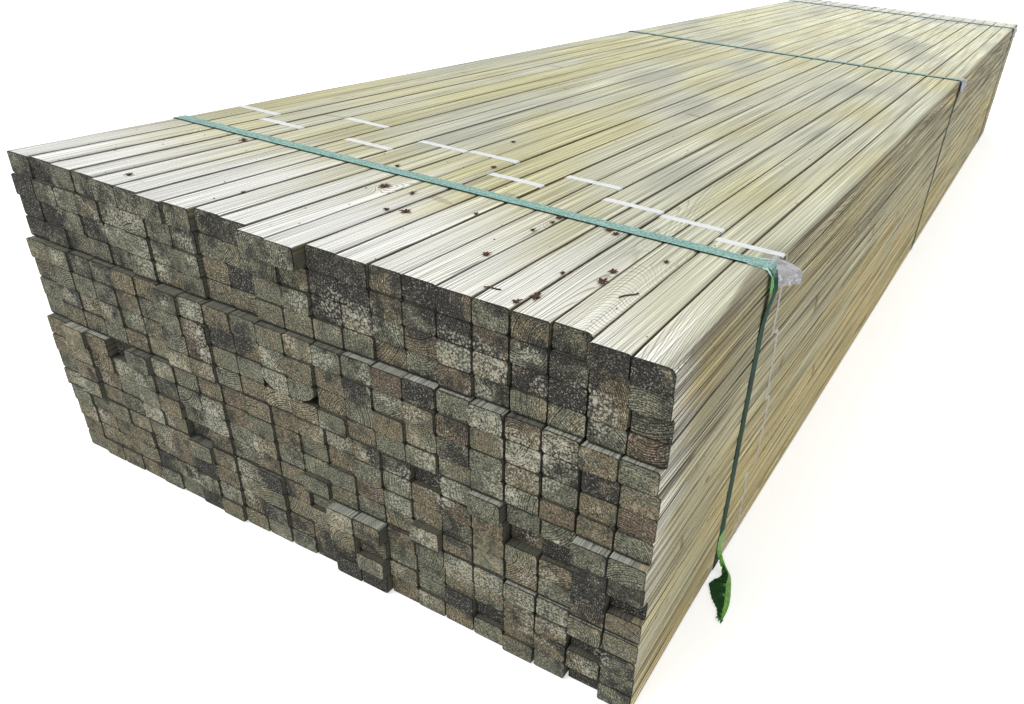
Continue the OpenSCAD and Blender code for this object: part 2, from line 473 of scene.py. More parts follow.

    # the right-hand arris near the front is darker, with a jagged edge
    atCorner = paint.smooth(worldX, halfPack - 0.034, halfPack - 0.032)
    jagged = (fibre - 0.5) * 0.012 + (broad - 0.5) * 0.012
    arrisDarkTop = paint.smooth(x + frontRun * 0.09 + jagged, 0.0225, 0.0250)
    arrisDarkTop = arrisDarkTop * paint.smooth(frontRun, 0.36, 0.24) * topFace
    arrisDarkSide = paint.smooth(worldZ + jagged, timberTop - 0.011, timberTop - 0.007) * sideFace
    arrisDarkSide = arrisDarkSide * paint.smooth(frontRun, 0.015, 0.045)
    arrisDarkSide = arrisDarkSide * paint.smooth(frontRun, settings["arrisDarkLength"], 0.13)
    arrisDark = (arrisDarkTop * settings["arrisDarkTop"]).calc("MAXIMUM", arrisDarkSide * settings["arrisDarkSide"])
    base = paint.mix(arrisDark * atCorner, base, colour["arrisDark"])
    return paint.surface(settings["gloss"], base, 0.72 + fibre * 0.2, (fibre, 0.6, 0.0003))


endColours = {
    "dark": "302f2b",
    "green": "666757",
    "brown": "6b624e",
    "red": "584a40",
    "tan": "887f67",
    "mould": "c4c2b1",
    "pale": "cbcabd",
    # the dark of open pores, and painted shade in the gaps between ends and under each tier
    "gapAndShadow": "161512",
}

endSettings = {
    "rings": (0.24, 1.5),  # how light the early wood is, and how strong the rings are
    "pores": 3.8,
    "grit": 1.0,
    "sawLines": 0.4,
    "mouldSpecks": 0.75,
    "openPores": 0.65,
    "rim": 0.8,  # the dark outline of an end, painted shade in the gaps between ends
    "tierShadow": 0.85,  # the painted shadow under a tier
    "gloss": 0.28,
}


def sawnEndMaterial():
    paint = newPaint("weathered sawn end")
    settings = endSettings
    colour = tints(endColours)
    grain = Grain(paint, False)
    shade, hue, mouldiness = paint.attribute("endTone")
    patch = paint.noise(grain.place, 16.0, 1.0, 0.55)
    cloud = paint.noise(paint.vector("ADD", grain.place, (4.0, 7.0, 2.0)), 60.0, 2.0, 0.6)
    pore = paint.noise(grain.place, 640.0, 1.5, 0.7)
    sawn = paint.line(grain.worldX * 90.0 + grain.worldZ * 500.0 + grain.own)

    # soot, weather and rings
    tone = shade + (patch - 0.5) * 0.8 + (cloud - 0.5) * 1.3
    tinge = hue + (cloud - 0.5) * 1.4
    base = paint.mix(paint.smooth(tinge, 0.30, 0.75), colour["green"], colour["brown"])
    base = paint.mix(paint.smooth(tinge, 0.95, 1.30), base, colour["red"])
    base = paint.mix(paint.smooth(tone, 0.0, 0.5), colour["dark"], base)
    base = paint.mix(paint.smooth(tone, 0.60, 1.05), base, colour["tan"])
    flat = paint.join(grain.worldX + grain.worldY.calc("SIGN"), grain.worldZ, 0.0)
    grit = paint.split(paint.node("ShaderNodeTexVoronoi", {"voronoi_dimensions": "2D"},
                                  {"Vector": flat, "Scale": 780.0}, "Color"))[0]
    early, strength = settings["rings"]
    grey = (early - grain.late) * (grit + strength) + (pore - 0.5) * settings["pores"]
    grey = grey + (grit - 0.5) * settings["grit"] + (sawn - 0.5) * settings["sawLines"] + 0.96
    base = paint.shadeBy(grey.calc("MAXIMUM", 0.12), base)

    # mould in spots and clumps, pale flecks and open pores
    bloom = mouldiness + (patch - 0.5) * 0.5 + (cloud - 0.5) * 0.9
    spots, spotColour = paint.node("ShaderNodeTexVoronoi", {"voronoi_dimensions": "2D"},
                                   {"Vector": flat, "Scale": 300.0}, ("Distance", "Color"))
    chance = paint.smooth(paint.split(spotColour)[0] - bloom * 0.5, 0.70, 0.45)
    speck = paint.smooth(spots + (pore - 0.5) * 0.3, 0.44, 0.32) * chance * paint.smooth(bloom, 0.15, 0.45)
    clump = paint.noise(grain.place, 85.0, 4.0, 0.65) + ((bloom - 0.72) * 0.30).calc("MINIMUM", 0.045)
    mould = paint.smooth(clump, 0.53, 0.62).calc("MAXIMUM", speck * settings["mouldSpecks"])
    mould = mould * (grit * 0.35 + 0.65)
    base = paint.mix(mould * paint.smooth(pore, 0.36, 0.46, 0.4, 1.0), base, colour["mould"])
    fleck = paint.smooth(pore, 0.59, 0.68) * (1.0 - grain.late * 0.7)
    base = paint.mix(fleck * paint.smooth(cloud, 0.30, 0.60, 0.25, 0.65), base, colour["pale"])
    base = paint.mix(paint.smooth(pore, 0.42, 0.32) * settings["openPores"], base, colour["gapAndShadow"])

    # a dark rounded outline as painted shade in the gaps between ends, and a painted shadow under each tier
    corner = mouldiness * 0.0010 + 0.0042
    overX = (abs(grain.x) - timberGrain["halfWidth"] + corner).calc("MAXIMUM", 0.0)
    overZ = (abs(grain.z) - timberGrain["halfDepth"] + corner).calc("MAXIMUM", 0.0)
    inwards = corner - (overX * overX + overZ * overZ).calc("SQRT") + (cloud - 0.5) * 0.0012
    rim = paint.smooth(inwards, 0.0009, 0.0002) * settings["rim"]
    shadowUnderTier = paint.smooth(grain.tierPart, 0.962, 0.980) * paint.smooth(grain.worldZ, 0.03, 0.06)
    base = paint.mix(rim.calc("MAXIMUM", shadowUnderTier * settings["tierShadow"]), base, colour["gapAndShadow"])
    height = pore * 1.2 + sawn * 0.5 - grain.late * 0.5
    return paint.surface(settings["gloss"], base, 0.72 + pore * 0.2, (height, 0.6, 0.0008))


battenSettings = {
    "arris": (0.0020, 0.0038),  # smallest and largest edge radius
    "shrink": (0.0000, 0.0005),  # how much narrower than its place
    "thin": (0.0000, 0.0003),
    "endTilt": 0.012,
    "tiltLength": 0.02,  # how far from an end its tilt reaches
    "arcSteps": 4,
    # distances from an end at which an outer and an inner batten has a section
    "outerStations": [0, 0.0012, 0.006, 0.03, 0.06, 0.09, 0.12, 0.16, 0.2, 0.25, 0.3, 0.38, 0.5, 0.62,
                      0.9, 1.25],
    "innerStations": [0, 0.0012, 0.006, 0.06, 0.4],
    "endEase": (0.986, 0.997),  # share of the full section at an end, and just behind it
    "endRings": (0.82, 0.6, 0.35),  # share of the outline at which a sawn end has a ring of points
    "endRough": 0.0005,
    "ringWidth": (0.0012, 0.0027),
    "heartDistance": (0.018, 0.060),  # from the batten's middle to the tree's centre line
    "slope": 0.02,
    "endReach": 0.3,  # how far the front ends' own tones reach back
    "rearShade": (0.1, 0.8),
    "calmEnds": {"keep": 0.6, "shade": 0.12, "hue": 0.14},  # for the left half of the top tier
    "mouldStrength": (0.70, 0.50),  # of the patches, and in the left half of the top tier
    "mouldReach": 0.8,  # how wide a patch is, as a share of its size
    "mouldCap": 0.74,
    "sootStrength": 0.5,
    "sootReach": 0.9,
    "ledgeLight": 0.25,  # painted light on upper faces below the top row that are not listed as lit
    "cornerColumn": 20,  # the top battens from here to the right share one tone
    "cornerTone": (0.6, 0.2, 0.3),  # lightness, warmth and wear
}

# corners are numbered from the lower right one, anticlockwise seen from the front
waneyBattens = {
    (7, 11): {3: (0.026, 0.017)},
    (7, 12): {0: (0.030, 0.019)},
    (1, 22): {1: (0.0075, 0.0065)},
    (1, 20): {1: (0.0060, 0.0050)},
}

# the front ends as they have weathered, row by row from the top: k black, d dark, r red-brown,
# b brown, g grey-green, t tan, p tan with mould
endMap = """
gddddddgddggdgbdbgbdrk
dggbptgdgbgbddbgdrgdrg
ddgdptgtbktgdbgrpbrkbd
dgbgdpbgbtttttbgrgttgr
ttdgbbgpbgttggrdgprbbg
bgggbggrgbtbbdgbrbpdkb
gdbtgbgrtgpgbgbtdgrgbr
gbbgbttbgbtbgbgpbggrbg
btbkgtgbrbbtpbdkpggpgg
btbggdgprgbgbggbrbbkdg
dbrggbgpgbgtgrgbdbtbdk
ttbdpbdrgbbgbgbtbtbgrt
ggttbbtbpdbgtbbgpppptt
tbbbbbdbttttbbggttbbkd
bbbtdptpbgbbbtbgkkbbtd
bbbbggdbtpgdkkbtbtbgkg
""".split()

# what the letters stand for: shade, hue and mould
endKinds = {
    "k": (0.00, 0.40, 0.00), "d": (0.20, 0.25, 0.02), "r": (0.32, 1.05, 0.03), "b": (0.42, 0.65, 0.04),
    "g": (0.42, 0.15, 0.05), "t": (0.68, 0.45, 0.08), "p": (0.58, 0.30, 0.22),
}

# how much paler, or darker below nought, the left and the right half of each tier are, from the top
tierShade = [(-0.02, -0.10), (0.0, 0.08), (0.03, 0.03), (0.0, 0.0)]

# mould that runs across neighbouring ends, as column, row and size in battens
mouldPatches = [
    (4.6, 1.5, 0.7), (5.6, 1.2, 0.5), (5.9, 2.6, 0.5), (3.3, 1.1, 0.3), (3.8, 1.9, 0.4),
    (2.0, 1.2, 0.3), (1.9, 2.2, 0.3), (7.6, 1.4, 0.5), (7.8, 2.4, 0.4), (5.6, 3.3, 0.4),
    (6.3, 3.4, 0.4), (1.4, 4.5, 0.4), (6.5, 4.5, 0.3), (7.5, 4.5, 0.6), (7.7, 5.3, 0.4),
    (10.2, 5.4, 0.4), (1.5, 6.6, 0.4), (2.3, 6.6, 0.4), (3.3, 6.3, 0.4), (4.7, 6.2, 0.4),
    (7.7, 6.4, 0.5), (10.4, 6.4, 0.5), (6.2, 7.6, 0.4), (7.8, 7.3, 0.4), (5.3, 8.4, 0.5),
    (3.3, 9.6, 0.4), (4.2, 9.6, 0.4), (7.3, 9.8, 0.6), (7.4, 10.6, 0.6), (9.2, 10.7, 0.6),
    (2.2, 10.7, 0.4), (0.9, 11.5, 0.6), (4.8, 11.5, 0.6), (4.6, 12.9, 0.5), (8.2, 12.7, 0.6),
    (1.2, 13.6, 0.5), (6.0, 14.5, 0.4), (7.2, 14.4, 0.4), (8.3, 14.3, 0.4), (11.6, 2.3, 0.4),
    (12.7, 2.3, 0.6), (13.7, 2.4, 0.6), (14.8, 2.4, 0.2), (16.7, 2.1, 0.6), (17.4, 2.2, 0.5),
    (17.8, 2.5, 0.4), (18.5, 1.3, 0.4), (18.8, 2.5, 0.3), (20.1, 2.0, 0.3), (20.5, 2.5, 0.35),
    (20.3, 3.2, 0.35), (11.3, 4.3, 0.3), (12.1, 4.7, 0.4), (12.6, 4.3, 0.3), (13.8, 4.7, 0.4),
    (17.3, 4.2, 0.6), (19.6, 4.5, 0.6), (19.2, 4.8, 0.4), (14.5, 5.2, 0.3), (15.4, 5.4, 0.4),
    (18.3, 5.2, 0.6), (18.6, 5.8, 0.6), (19.1, 6.2, 0.4), (20.5, 6.6, 0.2), (15.8, 7.2, 0.5),
    (17.8, 7.2, 0.5), (18.3, 7.5, 0.3), (12.3, 8.3, 0.6), (13.5, 8.7, 0.4), (14.8, 8.8, 0.4),
    (16.2, 8.6, 0.6), (16.0, 9.4, 0.3), (18.7, 9.5, 0.3), (14.5, 10.5, 0.5), (19.3, 10.9, 0.4),
    (18.6, 11.5, 0.3), (15.4, 11.4, 0.6), (12.6, 12.4, 0.5), (16.6, 12.7, 0.5), (17.6, 12.8, 0.5),
    (18.9, 12.8, 0.6), (19.7, 12.9, 0.6), (18.6, 14.1, 0.4), (19.4, 14.2, 0.3), (14.1, 14.3, 0.4),
    (20.6, 14.6, 0.5), (15.4, 15.4, 0.5), (21.0, 13.4, 0.4),
]

# soot, in the same way
sootPatches = [
    (0.4, 2.2, 0.9), (1.6, 2.9, 0.7), (9.4, 2.6, 0.4), (8.2, 5.4, 0.5), (9.3, 5.5, 0.4),
    (3.6, 6.4, 0.4), (13.3, 1.4, 0.8), (16.0, 0.9, 0.6), (16.1, 0.3, 0.4), (15.4, 4.5, 0.5),
    (19.4, 2.6, 0.6), (20.0, 5.3, 0.4), (13.8, 8.4, 0.4), (15.6, 8.5, 0.6), (18.4, 9.5, 0.4),
    (19.7, 9.4, 0.6), (21.6, 10.5, 0.8), (20.7, 10.8, 0.5), (1.7, 10.4, 0.3), (6.3, 13.5, 0.6),
    (5.5, 14.4, 0.4), (3.9, 14.4, 0.5), (9.8, 12.8, 0.6), (9.0, 14.6, 0.5), (10.4, 14.9, 0.5),
    (6.6, 15.0, 0.4), (11.7, 14.6, 0.5), (12.5, 15.3, 0.6), (13.6, 15.2, 0.6), (16.7, 14.4, 0.6),
    (17.5, 14.5, 0.6), (20.5, 13.6, 0.6), (20.7, 15.4, 0.6),
]

# top battens whose grain is given near the front: ring width, then the centre line's
# distance from the front, place across and place up
chosenGrain = {
    (1, 22): (0.0013, [(0.0, -0.020, -0.024), (0.12, -0.026, -0.024), (0.30, -0.038, -0.020),
                       (0.60, -0.050, -0.016)]),
    (1, 21): (0.0012, [(0.0, 0.020, -0.022), (0.12, 0.026, -0.024), (0.30, 0.040, -0.020),
                       (0.60, 0.056, -0.010)]),
    (1, 20): (0.0014, [(0.0, 0.010, -0.004), (0.06, 0.004, -0.018), (0.15, -0.010, -0.036),
                       (0.40, -0.034, -0.030)]),
    (1, 19): (0.0019, [(0.0, 0.020, -0.012), (0.20, 0.006, -0.020), (0.40, -0.020, -0.022),
                       (0.70, -0.040, -0.012)]),
    (1, 18): (0.0015, [(0.0, -0.022, -0.016), (0.25, -0.034, -0.012), (0.60, -0.040, -0.010)]),
}

# battens whose upper face shows beyond the tier above and is painted lit and pale, by row; the other ledges
# are painted in shade
litLedges = {
    5: (14, 15, 16, 17, 18, 20, 21, 22),
    9: (2, 3, 4, 17, 18, 21, 22),
    13: (13, 14, 18, 19, 20, 21, 22),
}

# how far the battens of a column fan out to the right where the front strap no longer holds them
frontSplay = {
    "reach": {18: 0.0008, 19: 0.0018, 20: 0.0030, 21: 0.0041, 22: 0.0048},
    "length": 0.25,
    "curve": 1.3,
    "heldRow": (5, 0.3),  # a row that fans out less, and its share
}

cornerSigns = [(1, -1), (1, 1), (-1, 1), (-1, -1)]
cornerStart = [-90, 0, 90, 180]


def battenBoxes(tier, column):
    # lowest and highest corner of each batten of a bundle, with its row and column in the pack
    points = nodePoints(bundleNode(tier, column))
    low, high = points.min(0), points.max(0)
    across = np.floor((points[:, 0] - low[0]) / (high[0] - low[0] + 1e-9) * bundleColumns).astype(int)
    down = np.floor((high[2] - points[:, 2]) / (high[2] - low[2] + 1e-9) * bundleRows).astype(int)
    found = []
    for row in range(bundleRows):
        for place in range(bundleColumns):
            mine = points[(across == place) & (down == row)]
            packRow = tier * bundleRows + row + 1
            packColumn = column * bundleColumns + place + 1
            found.append((packRow, packColumn, mine.min(0), mine.max(0)))
    return found


def outlineAt(width, depth, radiiX, radiiZ):
    # section points for every station: radii are arrays of stations by corners
    steps = battenSettings["arcSteps"]
    columns = []
    for corner in range(4):
        signX, signZ = cornerSigns[corner]
        for step in range(steps + 1):
            angle = math.radians(cornerStart[corner] + 90 * step / steps)
            px = signX * (width / 2 - radiiX[:, corner]) + radiiX[:, corner] * math.cos(angle)
            pz = signZ * (depth / 2 - radiiZ[:, corner]) + radiiZ[:, corner] * math.sin(angle)
            columns.append(np.stack([px, pz], 1))
    return np.stack(columns, 1)


def isOuter(row, column):
    return row in (1, packRows) or column in (1, packColumns)


def closeEnd(dice, rim, ring, inward, total):
    # points and faces of a sawn end: rings inside its rim, then a middle point
    around = len(rim)
    centre = rim.mean(0)
    points, faces = [], []
    for share in battenSettings["endRings"]:
        inner = centre + (rim - centre) * share
        rough = [dice.uniform(0, battenSettings["endRough"]) for p in range(around)]
        inner[:, 1] += inward * np.array(rough)
        points.append(inner)
        fresh = np.arange(total, total + around)
        total += around
        pair = [ring, fresh, np.roll(fresh, -1), np.roll(ring, -1)]
        quads = np.stack(pair if inward > 0 else pair[::-1], -1)
        faces += [tuple(q) for q in quads.tolist()]
        ring = fresh
    points.append(centre[None, :] + np.array([[0, inward * 0.0002, 0]]))
    for k in range(around):
        a, b = int(ring[k]), int(ring[(k + 1) % around])
        faces.append((b, a, total) if inward > 0 else (a, b, total))
    return points, faces, total + 1


def battenShape(dice, row, column, low, high):
    # vertices, faces, which faces are sawn, and the middle of one batten
    settings = battenSettings
    shrink = dice.uniform(*settings["shrink"])
    thin = dice.uniform(*settings["thin"])
    width = high[0] - low[0] - shrink
    depth = high[2] - low[2] - thin
    middleX = (low[0] + high[0]) / 2 + dice.uniform(-0.4, 0.4) * shrink
    middleZ = (low[2] + high[2]) / 2 + dice.uniform(-0.5, 0.1) * thin
    length = high[1] - low[1]
    half = settings["outerStations"] if isOuter(row, column) else settings["innerStations"]
    stations = np.array(half + [length / 2] + [length - s for s in reversed(half)])
    count = len(stations)

    # the section at each station, with eased or waney arrises
    base = [dice.uniform(*settings["arris"]) for corner in range(4)]
    radiiX = np.array([[b * (1 + 0.25 * dice.uniform(-1, 1)) for b in base] for s in stations])
    radiiZ = radiiX * dice.uniform(0.8, 1.0)
    for corner, (wideX, wideZ) in waneyBattens.get((row, column), {}).items():
        fade = np.clip(1.3 - stations / 0.9, 0.25, 1.0)
        radiiX[:, corner] = wideX * fade
        radiiZ[:, corner] = wideZ * fade
    outline = outlineAt(width, depth, radiiX, radiiZ)
    outline[[0, -1]] *= settings["endEase"][0]
    outline[[1, -2]] *= settings["endEase"][1]
    bow = shrink * 0.3 * np.sin(stations / length * math.pi * dice.choice([1, 2]) + dice.uniform(0, 3))
    tiltX = dice.uniform(-1, 1) * settings["endTilt"]
    tiltZ = dice.uniform(-1, 1) * settings["endTilt"]

    # a little crooked, and sawn a little out of square
    around = outline.shape[1]
    vertices = np.empty((count, around, 3))
    vertices[:, :, 0] = outline[:, :, 0] + bow[:, None]
    vertices[:, :, 2] = outline[:, :, 1]
    lean = outline[:, :, 0] * tiltX + outline[:, :, 1] * tiltZ
    lean -= lean.min()
    nearFront = np.clip(1 - stations / settings["tiltLength"], 0, 1)[:, None]
    nearRear = np.clip(1 - (length - stations) / settings["tiltLength"], 0, 1)[:, None]
    vertices[:, :, 1] = stations[:, None] + lean * nearFront - lean * nearRear

    index = np.arange(count * around).reshape(count, around)
    here, there = index[:-1], index[1:]
    nextHere, nextThere = np.roll(here, -1, 1), np.roll(there, -1, 1)
    faces = [tuple(q) for q in np.stack([here, nextHere, nextThere, there], -1).reshape(-1, 4).tolist()]
    onEnd = [q // around in (0, count - 2) for q in range(len(faces))]
    points = [vertices.reshape(-1, 3)]
    total = count * around
    for station, inward in ((0, 1), (count - 1, -1)):
        endPoints, endFaces, total = closeEnd(dice, vertices[station], index[station], inward, total)
        points += endPoints
        faces += endFaces
    onEnd += [True] * (len(faces) - len(onEnd))
    points = np.concatenate(points) + np.array([middleX, low[1], middleZ])
    return points, faces, onEnd, (middleX, (low[1] + high[1]) / 2, middleZ)


def fanOut(dice, row, column, fromFront):
    # how far each point moves to the right
    heldRow, heldShare = frontSplay["heldRow"]
    reach = frontSplay["reach"].get(column, 0.0)
    reach *= heldShare if row == heldRow else dice.uniform(0.93, 1.07)
    return reach * np.clip(1 - fromFront / frontSplay["length"], 0, 1) ** frontSplay["curve"]


def treeLine(dice, row, column, fromFront):
    # where the tree's centre line and rings lie: beside a top batten and above or below a side one,
    # for an even grain
    settings = battenSettings
    spread = dice.uniform(*settings["heartDistance"])
    angle = dice.uniform(0, 2 * math.pi)
    if isOuter(row, column):
        angle = dice.choice([0, math.pi]) + dice.uniform(-0.6, 0.6)
        angle += 0 if row in (1, packRows) else math.pi / 2
    elif dice.random() < 0.3:
        spread *= 0.3
    slope = settings["slope"]
    heart = (spread * math.cos(angle), spread * math.sin(angle), dice.uniform(0, 10))
    heart = np.tile(heart, (len(fromFront), 1))
    grow = (dice.uniform(-slope, slope), dice.uniform(-slope, slope), dice.uniform(*settings["ringWidth"]))
    if (row, column) in chosenGrain:
        ringWidth, line = chosenGrain[(row, column)]
        run, lineX, lineZ = np.array(line).T
        heart[:, 0] = np.interp(fromFront, run, lineX)
        heart[:, 1] = np.interp(fromFront, run, lineZ)
        grow = (0, 0, ringWidth)
    return heart, grow


def longFaceTone(dice, row, column):
    # how light, warm and worn the long faces are; below the top row the last value is the painted light on
    # a ledge
    settings = battenSettings
    wearAndLight = dice.random()
    # below the top row the value is painted light: full on the listed ledges, little on the rest
    if row > 1:
        wearAndLight = 1.0 if column in litLedges.get(row, ()) else wearAndLight * settings["ledgeLight"]
    tone = (dice.random(), dice.random() ** 1.3, wearAndLight)
    if row == 1 and column >= settings["cornerColumn"]:
        tone = settings["cornerTone"]
    return tone


def patchShare(gridX, gridZ, patch, reach):
    # how strongly a patch works on each point: 1 in its middle, fading outwards
    patchX, patchZ, size = patch
    away = (gridX - patchX) ** 2 + ((gridZ - patchZ) * 0.66) ** 2  # a row is 0.66 of a column
    return np.exp(-away / (size * reach) ** 2)


def sawnEndTone(dice, row, column, points, fromFront):
    # how dark, brown and mouldy the ends are
    settings = battenSettings
    gridX = (points[:, 0] + halfPack) / (2 * halfPack) * packColumns
    gridZ = (timberTop - points[:, 2]) / (timberTop - timberFloor) * packRows
    atFront = np.clip(1 - fromFront / settings["endReach"], 0, 1)
    shade, hue, mould = endKinds[endMap[row - 1][column - 1]]
    shade += tierShade[(row - 1) // bundleRows][column > bundleCount]
    calm = row <= bundleRows and column <= bundleCount
    if calm:
        keep = settings["calmEnds"]["keep"]
        shade = shade * keep + settings["calmEnds"]["shade"]
        hue = hue * keep + settings["calmEnds"]["hue"]
        mould *= keep
    rearShade = dice.uniform(*settings["rearShade"])
    shade = (shade + dice.uniform(-0.05, 0.05)) * atFront + rearShade * (1 - atFront)
    mould = np.full(len(points), mould)
    strength = settings["mouldStrength"][calm] * atFront
    for patch in mouldPatches:
        mould += strength * patchShare(gridX, gridZ, patch, settings["mouldReach"])
    mould = np.minimum(mould, settings["mouldCap"])
    strength = settings["sootStrength"] * atFront
    for patch in sootPatches:
        shade -= strength * patchShare(gridX, gridZ, patch, settings["sootReach"])
    hue = np.full(len(points), hue + dice.uniform(-0.15, 0.15))
    return np.stack([shade, hue, mould], 1)


def battenMesh(row, column, low, high):
    # vertices, faces, the values that the finish reads, and which faces are sawn, for one batten
    dice = random.Random(row * 100 + column)
    points, faces, onEnd, middle = battenShape(dice, row, column, low, high)
    fromFront = points[:, 1] - low[1]
    splay = fanOut(dice, row, column, fromFront)
    heart, grow = treeLine(dice, row, column, fromFront)
    faceTone = longFaceTone(dice, row, column)
    endTone = sawnEndTone(dice, row, column, points, fromFront)
    home = np.tile(middle, (len(points), 1))
    home[:, 0] += splay
    points[:, 0] += splay
    values = {
        "home": home,
        "heart": heart,
        "grow": np.tile(grow, (len(points), 1)),
        "faceTone": np.tile(faceTone, (len(points), 1)),
        "endTone": endTone,
    }
    return points, faces, values, onEnd


def makeObject(name, points, faces, material, values=None, sharpAngle=35):
    mesh = bpy.data.meshes.new(name)
    mesh.from_pydata(np.asarray(points).tolist(), [], faces)
    for key, array in (values or {}).items():
        attribute = mesh.attributes.new(key, "FLOAT_VECTOR", "POINT")
        attribute.data.foreach_set("vector", np.asarray(array, dtype=np.float32).ravel())
    mesh.polygons.foreach_set("use_smooth", [True] * len(mesh.polygons))
    mesh.set_sharp_from_angle(angle=math.radians(sharpAngle))
    mesh.materials.append(material)
    mesh.update()
    made = bpy.data.objects.new(name, mesh)
    bpy.context.scene.collection.objects.link(made)
    return made


def joinMeshes(parts):
    points, faces, start = [], [], 0
    for newPoints, newFaces in parts:
        points.append(newPoints)
        faces += [tuple(v + start for v in f) for f in newFaces]
        start += len(newPoints)
    return np.concatenate(points), faces


def makeBundle(tier, column, faceMaterial, endMaterial):
    battens = [battenMesh(*box) for box in battenBoxes(tier, column)]
    points, faces = joinMeshes([batten[:2] for batten in battens])
    values = {key: np.concatenate([batten[2][key] for batten in battens]) for key in battens[0][2]}
    onEnd = [int(end) for batten in battens for end in batten[3]]
    name = f"battens_{tierNames[tier]}_{column + 1:02d}"
    piece = makeObject(name, points, faces, faceMaterial, values)
    piece.data.materials.append(endMaterial)
    piece.data.polygons.foreach_set("material_index", onEnd)
    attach(piece, "root")
    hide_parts(bundleNode(tier, column))
    return len(faces)


timber, sawnEnd = longFaceMaterial(), sawnEndMaterial()
faceCount = 0
for bundleTier in range(len(tierNames)):
    for bundleColumn in range(bundleCount):
        faceCount += makeBundle(bundleTier, bundleColumn, timber, sawnEnd)
print("battens ready,", faceCount, "faces")


def loopPath(low, high, radius, spacing):
    # x, z and the outward direction of points round a rectangle with round corners
    left, right = low[0] + radius, high[0] - radius
    bottom, top = low[1] + radius, high[1] - radius
    corners = [(right, bottom), (right, top), (left, top), (left, bottom)]
    path = []
    for number, (centreX, centreZ) in enumerate(corners):
        for step in range(7):
            angle = math.radians(-90 + 90 * number + 15 * step)
            path.append((centreX + radius * math.cos(angle), centreZ + radius * math.sin(angle),
                         math.cos(angle), math.sin(angle)))
        nextX, nextZ = corners[(number + 1) % 4]
        start = path[-1]
        end = (nextX + radius * start[2], nextZ + radius * start[3])
        count = max(1, int(math.dist(start[:2], end) / spacing))
        for step in range(1, count):
            share = step / count
            x = start[0] + (end[0] - start[0]) * share
            z = start[1] + (end[1] - start[1]) * share
            path.append((x, z, start[2], start[3]))
    return np.array(path)


def ribbonMesh(path, middleY, widths, thickness, lifts):
    # a closed strip along a loop; lifts raise it from what it goes round
    half = [(0.2, 1.05), (0.46, 1.0), (0.5, 0.8), (0.5, 0.0)]  # across and outwards, from its middle
    section = [(-across, out) for across, out in reversed(half)] + half
    rings = []
    for across, out in section:
        away = lifts + out * thickness
        rings.append(np.stack([path[:, 0] + path[:, 2] * away, middleY + across * widths,
                               path[:, 1] + path[:, 3] * away], 1))
    points = np.stack(rings, 1)
    count, around = points.shape[:2]
    index = np.arange(count * around).reshape(count, around)
    nextIndex = np.roll(index, -1, 0)
    quads = np.stack([index, nextIndex, np.roll(nextIndex, -1, 1), np.roll(index, -1, 1)], -1)
    return points.reshape(-1, 3), [tuple(q) for q in quads.reshape(-1, 4).tolist()]


def shellMesh(grid, thickness):
    # a thin closed sheet from a grid of points
    normal = np.cross(np.gradient(grid, axis=0), np.gradient(grid, axis=1))
    normal /= np.linalg.norm(normal, axis=2, keepdims=True) + 1e-12
    rows, columns = grid.shape[:2]
    points = np.concatenate([grid.reshape(-1, 3), (grid + normal * thickness).reshape(-1, 3)])
    index = np.arange(rows * columns).reshape(rows, columns)
    a, b, c, d = index[:-1, :-1], index[1:, :-1], index[1:, 1:], index[:-1, 1:]
    upper = rows * columns
    quads = np.concatenate([np.stack([a, d, c, b], -1).reshape(-1, 4),
                            (np.stack([a, b, c, d], -1) + upper).reshape(-1, 4)]).tolist()
    edge = [*index[0, :-1], *index[:-1, -1], *index[-1, :0:-1], *index[:0:-1, 0]]
    for here, there in zip(edge, edge[1:] + edge[:1]):
        quads.append([int(here), int(there), int(there) + upper, int(here) + upper])
    return points, [tuple(q) for q in quads]


def addPiece(name, mesh, material, slot, *nodes, sharpAngle=50):
    piece = makeObject(name, *mesh, material, sharpAngle=sharpAngle)
    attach(piece, "root")
    if nodes:
        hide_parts(*nodes)
    return piece


bandSettings = {
    "thickness": 0.000465,
    "clear": 0.00004,
    "cornerRadius": 0.0030,
    "spacing": 0.012,
    "sideShift": (0.0080, 0.0022, 0.0040, 0.0022),  # on the right side, tier by tier from the top
    "sideLean": (0.012, 0.015, 0.004, 0.003),
    "pinch": 0.55,  # share of its width where it is folded on the pack's side
    "trim": 0.0008,  # how much narrower it is than its node
    "wave": 0.0004,
    "gloss": 0.4,
    "colours": {"white": "eceef0", "shadow": "c3c6c8", "dustAndShade": "8e8c80"},
}


def bandMaterial():
    paint = newPaint("woven white band")
    colour = tints(bandSettings["colours"])
    place = paint.place()
    x, y, z = paint.split(place)
    weave = ((x + z) * 3600.0).calc("SINE") * 0.5 + 0.5
    thread = (y * 4200.0).calc("SINE") * 0.5 + 0.5
    soil = paint.noise(place, 60.0, 2.0, 0.6)
    base = paint.mix(weave * thread * 0.5, colour["white"], colour["shadow"])
    # on the pack's sides the band is painted darker as shade, and greyer where soiled
    onSide = paint.smooth(abs(paint.normal()[0]), 0.6, 0.9)
    base = paint.mix(onSide * 0.75 + paint.smooth(soil, 0.55, 0.8) * 0.25, base, colour["dustAndShade"])
    height = weave * 0.6 + thread * 0.4
    return paint.surface(bandSettings["gloss"], base, soil * 0.3 + 0.35, (height, 0.4, 0.0003))


